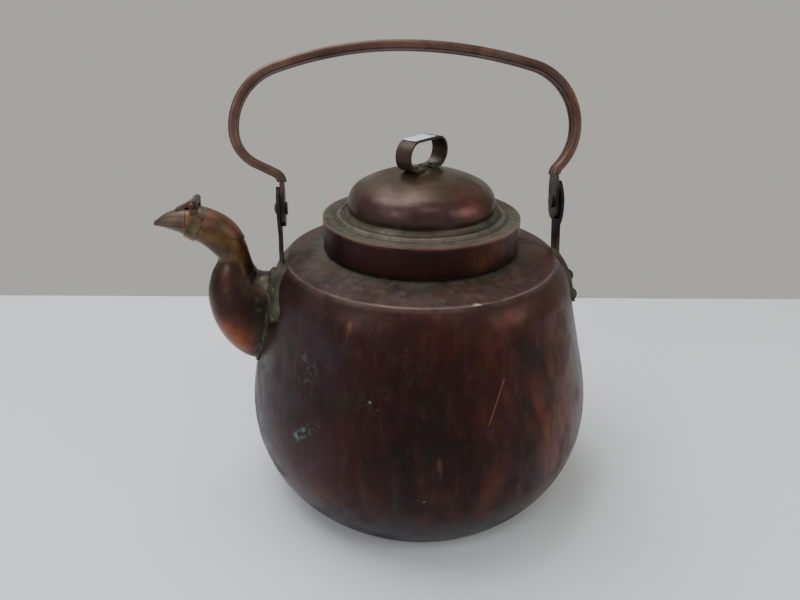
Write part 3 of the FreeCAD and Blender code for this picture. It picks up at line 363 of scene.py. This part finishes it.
def lid_top_finish():
    f = Finish("lid_patina", metallic=0.55, roughness=0.27, coat=0.0, gloss=0.40)
    f.paint((0.058, 0.033, 0.022))
    f.paint((0.068, 0.042, 0.025), f.window(f.cloud(26.0, 5.0, shift=(0.0, 2.0, 5.0)), 0.40, 0.66))
    # painted reflection: purple tint of the sheen band round the middle of the dome
    side = f.band(f.z, 0.1990, 0.0030, 0.0060)
    f.paint((0.062, 0.028, 0.030), f.times(side, 0.80))
    f.paint((0.110, 0.032, 0.018), f.times(f.near((0.028, -0.034, 0.203), 0.006, 0.022), 0.70))
    # painted shade: the dome darkened towards its foot, where it turns into the cove
    f.paint((0.030, 0.014, 0.009), f.times(f.window(f.z, 0.1968, 0.1925), 0.85))
    crown = f.near((0.0, 0.0, 0.2165), 0.006, 0.024, (1.0, 1.0, 1.6))
    f.paint(OLIVE, f.times(crown, f.window(f.cloud(70.0, 5.0), 0.34, 0.60), 0.90))
    r = f.radius()
    flat = f.times(f.window(r, 0.0440, 0.0466), f.window(f.z, 0.1922, 0.1902))
    patch = f.window(f.cloud(34.0, 6.0, shift=(4.0, 4.0, 4.0)), 0.28, 0.58)
    f.paint(UMBER, f.times(flat, 0.75))
    f.paint((0.088, 0.090, 0.064), f.times(flat, patch, 0.92))
    grain = f.cloud(240.0, 5.0, shift=(6.0, 2.0, 2.0))
    f.paint(SOOT_AND_SHADE, f.times(flat, f.window(grain, 0.50, 0.66), 0.45))
    cove = f.times(f.window(r, 0.0400, 0.0440), f.window(f.z, 0.1965, 0.1915), f.window(r, 0.0500, 0.0470))
    cove_patch = f.window(f.cloud(46.0, 6.0, shift=(1.0, 4.0, 9.0)), 0.36, 0.62)
    f.paint((0.075, 0.062, 0.040), f.times(cove, cove_patch, 0.75))
    f.paint(VERDIGRIS, f.times(flat, f.window(f.cloud(80.0, 5.0, shift=(1.0, 6.0, 4.0)), 0.60, 0.72), 0.30))
    lit_patch = f.window(f.cloud(60.0, 5.0, shift=(3.0, 1.0, 4.0)), 0.30, 0.60)
    lit = f.times(flat, f.window(f.y, -0.030, -0.056), lit_patch)
    f.paint((0.125, 0.100, 0.085), f.times(lit, 0.75))
    # painted highlight: light tan line along the top of the bead
    painted_bead_highlight = f.band(r, 0.0513, 0.0013, 0.0012)
    f.paint((0.150, 0.118, 0.090), f.times(painted_bead_highlight, f.window(f.cloud(50.0, 3.0), 0.35, 0.6), 0.55))
    # painted shade: dark lines in the grooves either side of the bead
    painted_groove_shade = f.math("MAXIMUM", f.band(r, 0.0545, 0.0003, 0.0007), f.band(r, 0.0482, 0.0003, 0.0009))
    f.paint(SOOT_AND_SHADE, f.times(painted_groove_shade, 0.55))
    aged(f, specks=0.6, grime=0.35, verdigris=0.25, streaks=0.25)
    edge = f.window(r, 0.0608, 0.0618)
    f.paint((0.180, 0.112, 0.088), f.times(edge, f.window(f.cloud(45.0, 3.0), 0.30, 0.55), 0.75))
    f.shade(0.22, flat)
    f.shade(-0.12, edge)
    return f.done(0.6)


def skirt_finish():
    f = Finish("skirt_patina", metallic=0.45, roughness=0.32, coat=0.0, gloss=0.16)
    f.paint((0.0150, 0.0050, 0.0045))
    f.paint((0.034, 0.0090, 0.0075), f.window(f.cloud(22.0, 4.0, (1.0, 1.0, 0.5)), 0.42, 0.70))
    right = f.near((0.036, -0.050, 0.175), 0.006, 0.026, (1.0, 1.0, 0.8))
    f.paint((0.085, 0.024, 0.011), f.times(right, f.window(f.cloud(40.0, 5.0), 0.30, 0.58), 0.95))
    f.paint((0.070, 0.040, 0.022), f.times(f.near((0.056, -0.026, 0.177), 0.006, 0.022), 0.7))
    back = f.times(f.window(f.y, 0.0, 0.03), f.window(f.cloud(18.0, 4.0, shift=(3.0, 1.0, 1.0)), 0.5, 0.7))
    f.paint(BURNT, f.times(back, 0.7))
    # painted shade: the skirt darkened along its lower edge, above the gap to the shoulder
    low = f.window(f.z, 0.1712, 0.1680)
    f.paint(SOOT_AND_SHADE, f.times(low, 0.6))
    aged(f, specks=0.5, grime=0.3, verdigris=0.10, streaks=0.12)
    edge = f.window(f.z, 0.1838, 0.1856)
    edge_patch = f.window(f.cloud(40.0, 4.0, (1.0, 1.0, 0.4)), 0.30, 0.60)
    f.paint((0.110, 0.032, 0.027), f.times(edge, edge_patch, 0.8))
    f.shade(-0.10, edge)
    return f.done(0.5)


def loop_finish():
    f = Finish("loop_patina", metallic=0.70, roughness=0.42)
    f.paint((0.038, 0.023, 0.020))
    f.paint((0.062, 0.038, 0.027), f.window(f.cloud(60.0, 5.0, (1.0, 1.0, 0.4)), 0.38, 0.66))
    f.paint(OLIVE, f.times(f.window(f.z, 0.2215, 0.2165), f.window(f.cloud(120.0, 4.0), 0.30, 0.58), 0.85))
    aged(f, specks=0.6, grime=0.4, verdigris=0.3, streaks=0.6)
    return f.done(0.6)


def bail_finish():
    f = Finish("bail_patina", metallic=0.60, roughness=0.34, coat=0.0, gloss=0.45)
    f.paint((0.090, 0.046, 0.036))
    f.paint((0.138, 0.078, 0.058), f.window(f.cloud(34.0, 5.0, shift=(0.0, 1.0, 0.0)), 0.38, 0.64))
    f.paint(COPPER, f.times(f.window(f.cloud(46.0, 5.0, shift=(5.0, 1.0, 2.0)), 0.58, 0.74), 0.30))
    ends = f.window(f.z, 0.226, 0.196)
    f.paint(OLIVE, f.times(ends, f.window(f.cloud(44.0, 5.0, (1.0, 1.0, 0.4)), 0.30, 0.58), 0.70))
    f.paint(SOOT_AND_SHADE, f.times(f.window(f.z, 0.212, 0.200), f.window(f.cloud(80.0, 4.0), 0.20, 0.5), 0.80))
    aged(f, specks=0.4, grime=0.35, verdigris=0.15, streaks=0.4)
    return f.done(0.5)


def bracket_finish():
    f = Finish("bracket_patina", metallic=0.60, roughness=0.46)
    f.paint((0.0065, 0.0048, 0.0042))
    f.paint((0.040, 0.022, 0.017), f.times(f.window(f.cloud(60.0, 5.0), 0.48, 0.70), 0.6))
    strap = f.window(f.z, 0.172, 0.158)
    f.paint(OLIVE, f.times(strap, f.window(f.cloud(70.0, 5.0), 0.22, 0.50), 0.95))
    f.paint(GREYGREEN, f.times(strap, f.window(f.cloud(90.0, 5.0, shift=(2.0, 2.0, 0.0)), 0.45, 0.66), 0.75))
    f.paint(UMBER, f.times(strap, f.window(f.cloud(34.0, 5.0, shift=(2.0, 7.0, 0.0)), 0.50, 0.68), 0.6))
    aged(f, specks=0.7, grime=0.45, verdigris=0.5, streaks=0.5)
    return f.done(0.8)


def rivet_finish():
    f = Finish("rivet_patina", metallic=0.70, roughness=0.42)
    f.paint((0.040, 0.030, 0.021))
    f.paint((0.095, 0.068, 0.042), f.times(f.window(f.cloud(160.0, 4.0), 0.42, 0.64), 0.7))
    aged(f, specks=0.4, grime=0.5, verdigris=0.7, streaks=0.2)
    return f.done(0.6)


def spout_finish():
    f = Finish("spout_patina", metallic=0.72, roughness=0.30, coat=0.0, gloss=0.35)
    f.paint((0.034, 0.015, 0.013))
    f.paint((0.055, 0.018, 0.013), f.window(f.cloud(30.0, 5.0, shift=(1.0, 1.0, 4.0)), 0.42, 0.66))
    neck = f.window(f.z, 0.146, 0.168)
    brassy = f.window(f.cloud(40.0, 5.0, (1.0, 1.0, 0.6), (2.0, 5.0, 2.0)), 0.34, 0.62)
    f.paint(BRASSY, f.times(neck, brassy, 0.85))
    under = f.near((-0.131, 0.0, 0.166), 0.006, 0.020, (1.0, 0.7, 1.0))
    f.paint((0.060, 0.040, 0.036), f.times(under, 0.85))
    bulb = f.near((-0.123, -0.010, 0.112), 0.006, 0.022, (1.0, 0.6, 1.1))
    f.paint((0.185, 0.048, 0.017), f.times(bulb, f.window(f.cloud(38.0, 5.0), 0.25, 0.55), 0.95))
    f.paint(COPPER, f.times(bulb, f.window(f.cloud(60.0, 5.0, shift=(3.0, 3.0, 3.0)), 0.52, 0.70), 0.35))
    joint = f.window(f.x, -0.1130, -0.1010)
    f.paint((0.022, 0.020, 0.0135), f.times(joint, f.window(f.cloud(75.0, 5.0), 0.24, 0.54), 0.9))
    saddle = f.near((-0.108, -0.010, 0.143), 0.005, 0.015)
    f.paint((0.095, 0.068, 0.046), f.times(saddle, f.window(f.cloud(110.0, 5.0), 0.36, 0.62), 0.70))
    f.paint(GREYGREEN, f.times(joint, f.window(f.cloud(130.0, 4.0, shift=(6.0, 1.0, 1.0)), 0.52, 0.66), 0.6))
    beak = f.window(f.x, -0.140, -0.148)
    f.paint((0.085, 0.060, 0.048), f.times(beak, 0.75))
    aged(f, specks=0.5, grime=0.30, verdigris=0.25, streaks=0.2)
    return f.done(0.5)


def plate_finish():
    f = Finish("spout_plate_patina", metallic=0.75, roughness=0.38)
    f.paint((0.170, 0.072, 0.042))
    f.paint(OLIVE, f.times(f.window(f.cloud(60.0, 5.0), 0.45, 0.64), 0.9))
    bright = f.window(f.cloud(46.0, 5.0, shift=(1.0, 2.0, 5.0)), 0.52, 0.70)
    f.paint((0.300, 0.120, 0.075), f.times(bright, 0.8))
    aged(f, specks=0.4, grime=0.5, verdigris=0.3, streaks=0.2)
    return f.done(0.6)


def hinge_finish():
    f = Finish("hinge_patina", metallic=0.65, roughness=0.44)
    f.paint((0.120, 0.082, 0.045))
    f.paint(SOOT_AND_SHADE, f.times(f.window(f.cloud(110.0, 5.0), 0.46, 0.62), 0.8))
    f.paint(TAN, f.times(f.window(f.cloud(85.0, 5.0, shift=(2.0, 1.0, 1.0)), 0.54, 0.68), 0.9))
    aged(f, specks=0.4, grime=0.5, verdigris=0.6, streaks=0.1)
    return f.done(0.9)


def pin_finish():
    f = Finish("pin_patina", metallic=0.75, roughness=0.40)
    f.paint((0.085, 0.030, 0.026))
    f.paint(BRONZE, f.times(f.window(f.cloud(150.0, 4.0), 0.48, 0.66), 0.8))
    aged(f, specks=0.3, grime=0.4, verdigris=0.3, streaks=0.1)
    return f.done(0.5)


def flap_finish():
    f = Finish("flap_patina", metallic=0.60, roughness=0.36, gloss=0.3)
    f.paint((0.095, 0.066, 0.047))
    f.paint((0.110, 0.066, 0.036), f.times(f.window(f.cloud(70.0, 5.0, (0.5, 1.0, 1.0)), 0.42, 0.66), 0.7))
    f.paint(SLATE, f.times(f.window(f.cloud(60.0, 5.0, shift=(5.0, 2.0, 1.0)), 0.50, 0.70), 0.7))
    tip = f.window(f.x, -0.154, -0.163)
    f.paint((0.060, 0.045, 0.040), f.times(tip, 0.7))
    aged(f, specks=0.4, grime=0.25, verdigris=0.2, streaks=0.2)
    return f.done(0.5)


def solder_finish():
    f = Finish("solder_crust", metallic=0.35, roughness=0.56, coat=0.0, gloss=0.25)
    f.paint((0.032, 0.028, 0.019))
    f.paint((0.078, 0.056, 0.038), f.times(f.window(f.cloud(95.0, 5.0), 0.44, 0.66), 0.80))
    f.paint(GREYGREEN, f.times(f.window(f.cloud(150.0, 5.0, shift=(1.0, 1.0, 1.0)), 0.48, 0.64), 0.8))
    f.paint(SOOT_AND_SHADE, f.times(f.window(f.cloud(120.0, 5.0, shift=(4.0, 1.0, 1.0)), 0.54, 0.66), 0.8))
    aged(f, specks=0.5, grime=0.4, verdigris=0.6, streaks=0.1)
    return f.done(1.0)


def sticker_finish():
    f = Finish("plain_paper", metallic=0.0, roughness=0.62, coat=0.05)
    f.paint((0.62, 0.66, 0.74))
    f.paint((0.50, 0.52, 0.56), f.times(f.window(f.cloud(220.0, 4.0), 0.52, 0.66), 0.5))
    f.raise_by(f.cloud(500.0, 3.0), 0.00004)
    return f.done(0.5)


def dress(node, material):
    """Give a carried-over CAD node its finish."""
    mesh = nodes[node].data
    mesh.materials.clear()
    mesh.materials.append(material)


finishes = {
    "body_wall": body_finish(),
    "base_pan": base_finish(),
    "shoulder_plate": shoulder_finish(),
    "neck_collar": collar_finish(),
    "spout_neck": spout_finish(),
    "spout_top_plate": plate_finish(),
    "flap_hinge_band": hinge_finish(),
    "flap_hinge_pin": pin_finish(),
    "spout_flap": flap_finish(),
    "lid_top": lid_top_finish(),
    "lid_skirt": skirt_finish(),
    "lid_loop": loop_finish(),
    "bail_handle": bail_finish(),
}
solder = solder_finish()
brackets = bracket_finish()
rivets = rivet_finish()
for node, finish in finishes.items():
    dress(node, finish)
dress("spout_root_flange", solder)
for side in ("left", "right"):
    dress(f"bracket_{side}", brackets)
    dress(f"bracket_rivets_{side}", rivets)
    dress(f"pivot_rivet_{side}", rivets)
dress("lid_loop_rivets", rivets)


# ------------------------------------------------------------------ fine pieces

def finish_piece(name, mesh, material, body):
    """Turn a bmesh into a smooth piece that rides on a body."""
    data = bpy.data.meshes.new(name)
    bmesh.ops.recalc_face_normals(mesh, faces=mesh.faces)
    mesh.to_mesh(data)
    mesh.free()
    for face in data.polygons:
        face.use_smooth = True
    data.materials.append(material)
    piece = bpy.data.objects.new(name, data)
    bpy.context.scene.collection.objects.link(piece)
    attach(piece, body)


def bead(points, outward, width, name, material, body, sides=10, lump=0.4):
    """Lumpy closed bead of solder along points: half sunk in the surface, wider than it is high."""
    mesh = bmesh.new()
    count = len(points)
    rings = []
    for i, point in enumerate(points):
        along = (points[(i + 1) % count] - points[i - 1]).normalized()
        up = outward[i] - along * outward[i].dot(along)
        up.normalize()
        side = along.cross(up)
        swell = width[i] * (1.0 + lump * noise.noise(point * 190.0))
        ring = []
        for k in range(sides):
            turn = 2.0 * math.pi * k / sides
            spot = point + side * (swell * math.cos(turn)) + up * (swell * 0.55 * math.sin(turn))
            spot += up * (swell * 0.25 * noise.noise(spot * 420.0))
            ring.append(mesh.verts.new(spot))
        rings.append(ring)
    for i in range(count):
        ring, other = rings[i], rings[(i + 1) % count]
        for k in range(sides):
            mesh.faces.new((ring[k], ring[(k + 1) % sides], other[(k + 1) % sides], other[k]))
    finish_piece(name, mesh, material, body)


def surface_of(node):
    return BVHTree.FromPolygons([v.co.copy() for v in nodes[node].data.vertices],
                                [tuple(p.vertices) for p in nodes[node].data.polygons])


def make_root_solder():
    """Solder run round the spout's root, heaviest in the saddle on top."""
    wall = surface_of("body_wall")
    flange_low, flange_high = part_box("spout_root_flange")
    margin, lift, steps = 0.0021, 0.0011, 180
    middle = (flange_low.z + flange_high.z) / 2.0
    deep = (flange_high.z - flange_low.z) / 2.0 - margin
    wide = (flange_high.y - flange_low.y) / 2.0 - margin
    points, outward, width = [], [], []
    for i in range(steps):
        turn = 2.0 * math.pi * i / steps
        start = Vector((flange_low.x - 0.05, wide * math.sin(turn), middle + deep * math.cos(turn)))
        hit, normal, _, _ = wall.ray_cast(start, Vector((1.0, 0.0, 0.0)))
        if hit is None:
            continue
        points.append(hit + normal * lift)
        outward.append((normal + Vector((0.0, math.sin(turn), math.cos(turn))) * 0.8).normalized())
        width.append(0.0017 + 0.0012 * max(math.cos(turn), 0.0) ** 2)
    bead(points, outward, width, "spout_root_solder", solder, "kettle")


def make_loop_crust():
    """Hardened crust between the finger loop's feet on the crown of the lid."""
    lid = surface_of("lid_top")
    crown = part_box("lid_top")[1].z
    mesh = bmesh.new()
    rings, spokes, reach = 9, 40, 0.0120
    phase, oval = 0.78, 0.55
    slant = 0.7071    # sine and cosine of the loop's 45 degrees
    grid = []
    for i in range(rings + 1):
        row = []
        for k in range(spokes):
            turn = 2.0 * math.pi * k / spokes
            edge = 1.0 + 0.28 * noise.noise(Vector((math.cos(turn), math.sin(turn), 3.0)) * 1.7)
            out = reach * edge * i / rings
            x, y = out * math.cos(turn + phase), oval * out * math.sin(turn + phase)
            x, y = x * slant - y * slant, x * slant + y * slant
            hit, _, _, _ = lid.find_nearest(Vector((x, y, crown)))
            fall = 1.0 - (i / rings) ** 3
            lump = 0.00050 + 0.00045 * noise.noise(Vector((x, y, 0.0)) * 330.0)
            row.append(mesh.verts.new((x, y, hit.z - 0.0001 + max(lump, 0.0001) * fall)))
        grid.append(row)
    for i in range(rings):
        for k in range(spokes):
            n = (k + 1) % spokes
            mesh.faces.new((grid[i][k], grid[i][n], grid[i + 1][n], grid[i + 1][k]))
    bmesh.ops.remove_doubles(mesh, verts=mesh.verts, dist=1e-6)
    finish_piece("loop_crust", mesh, solder, "lid")


def make_sticker():
    """Small blank paper sticker wrapped over the top of the finger loop."""
    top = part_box("lid_loop")[1].z + 0.00008
    flat, bend = 0.0097, 0.0093
    half_width, half_length, middle = 0.0050, 0.0098, -0.0030
    across, along, thick = 6, 28, 0.00014
    turn = Matrix.Rotation(math.radians(45.0), 4, "Z")
    mesh = bmesh.new()
    layers = []
    for lift in (0.0, thick):
        rows = []
        for i in range(along + 1):
            run = middle + half_length * (2.0 * i / along - 1.0)
            over = max(abs(run) - flat, 0.0) / bend
            x = math.copysign(min(abs(run), flat) + (bend + lift) * math.sin(over), run)
            z = top + lift - (bend + lift) * (1.0 - math.cos(over))
            corner = abs(2.0 * i / along - 1.0)
            row = []
            for k in range(across + 1):
                y = half_width * (2.0 * k / across - 1.0)
                ripple = 0.00016 * max(noise.noise(Vector((run, y, 0.0)) * 260.0), 0.0)
                curl = 0.00030 * max(corner - 0.86, 0.0) * 7.0 * abs(2.0 * k / across - 1.0)
                row.append(mesh.verts.new(turn @ Vector((x, y, z + ripple + curl))))
            rows.append(row)
        layers.append(rows)
    low, high = layers
    for i in range(along):
        for k in range(across):
            mesh.faces.new((high[i][k], high[i + 1][k], high[i + 1][k + 1], high[i][k + 1]))
            mesh.faces.new((low[i][k], low[i][k + 1], low[i + 1][k + 1], low[i + 1][k]))
    for i in range(along):
        for k in (0, across):
            mesh.faces.new((low[i][k], low[i + 1][k], high[i + 1][k], high[i][k]))
    for k in range(across):
        for i in (0, along):
            mesh.faces.new((low[i][k], low[i][k + 1], high[i][k + 1], high[i][k]))
    finish_piece("loop_sticker", mesh, sticker_finish(), "lid")


make_root_solder()
make_loop_crust()
make_sticker()


# ------------------------------------------------------------------ stage, light and camera

# the photograph's viewing angle; the stage is square to it
VIEW_HEADING = math.radians(-6.05)
VIEW_DOWN, VIEW_ROLL = 25.26, 0.27    # degrees
VIEW_PLACE = (-0.0538, -0.3831, 0.3086)


def make_stage():
    width, front, back, drop = 4.8, -2.2, 0.2754, 0.0004
    turn = Matrix.Rotation(VIEW_HEADING, 4, "Z")
    bpy.ops.mesh.primitive_plane_add(size=1.0)
    floor = bpy.context.object
    floor.matrix_world = turn @ Matrix.LocRotScale(Vector((0.0, (front + back) / 2.0, -drop)), None,
                                                   Vector((width, back - front, 1.0)))
    floor.name = "floor"
    material = bpy.data.materials.new("pale_floor")
    material.use_nodes = True
    shader = material.node_tree.nodes["Principled BSDF"]
    shader.inputs["Base Color"].default_value = (0.74, 0.78, 0.81, 1.0)
    shader.inputs["Roughness"].default_value = 0.55
    floor.data.materials.append(material)


def soft_light(name, place, target, size, power, colour):
    lamp = bpy.data.lights.new(name, "AREA")
    lamp.shape = "RECTANGLE"
    lamp.size, lamp.size_y = size
    lamp.energy = power
    lamp.color = colour
    item = bpy.data.objects.new(name, lamp)
    bpy.context.scene.collection.objects.link(item)
    item.location = place
    item.rotation_euler = (Vector(target) - Vector(place)).to_track_quat("-Z", "Y").to_euler()


def make_light():
    world = bpy.data.worlds.new("studio")
    world.use_nodes = True
    background = world.node_tree.nodes["Background"]
    background.inputs["Color"].default_value = (0.46, 0.44, 0.405, 1.0)
    background.inputs["Strength"].default_value = 1.0
    bpy.context.scene.world = world
    soft_light("overhead", (-0.35, 0.25, 1.25), (0.0, 0.0, 0.1), (1.1, 0.8), 15.0, (0.97, 0.98, 1.0))
    soft_light("window", (-0.95, -0.75, 0.75), (0.0, 0.0, 0.12), (0.5, 0.7), 4.5, (0.92, 0.96, 1.0))
    soft_light("lid", (0.05, -0.55, 0.95), (0.0, -0.03, 0.2), (0.34, 0.16), 0.7, (0.96, 0.95, 1.0))
    soft_light("fill", (1.0, -0.55, 0.60), (0.0, 0.0, 0.1), (0.6, 0.6), 3.5, (1.0, 0.98, 0.96))


def make_camera():
    lens = bpy.data.cameras.new("camera")
    lens.sensor_width = 36.0
    lens.lens = 28.6
    lens.clip_start = 0.01
    item = bpy.data.objects.new("camera", lens)
    bpy.context.scene.collection.objects.link(item)
    heading = Matrix.Rotation(VIEW_HEADING, 4, "Z")
    pitch = Matrix.Rotation(math.radians(90.0 - VIEW_DOWN), 4, "X")
    roll = Matrix.Rotation(math.radians(VIEW_ROLL), 4, "Z")
    item.matrix_world = Matrix.Translation(VIEW_PLACE) @ heading @ pitch @ roll
    bpy.context.scene.camera = item


make_stage()
make_light()
make_camera()
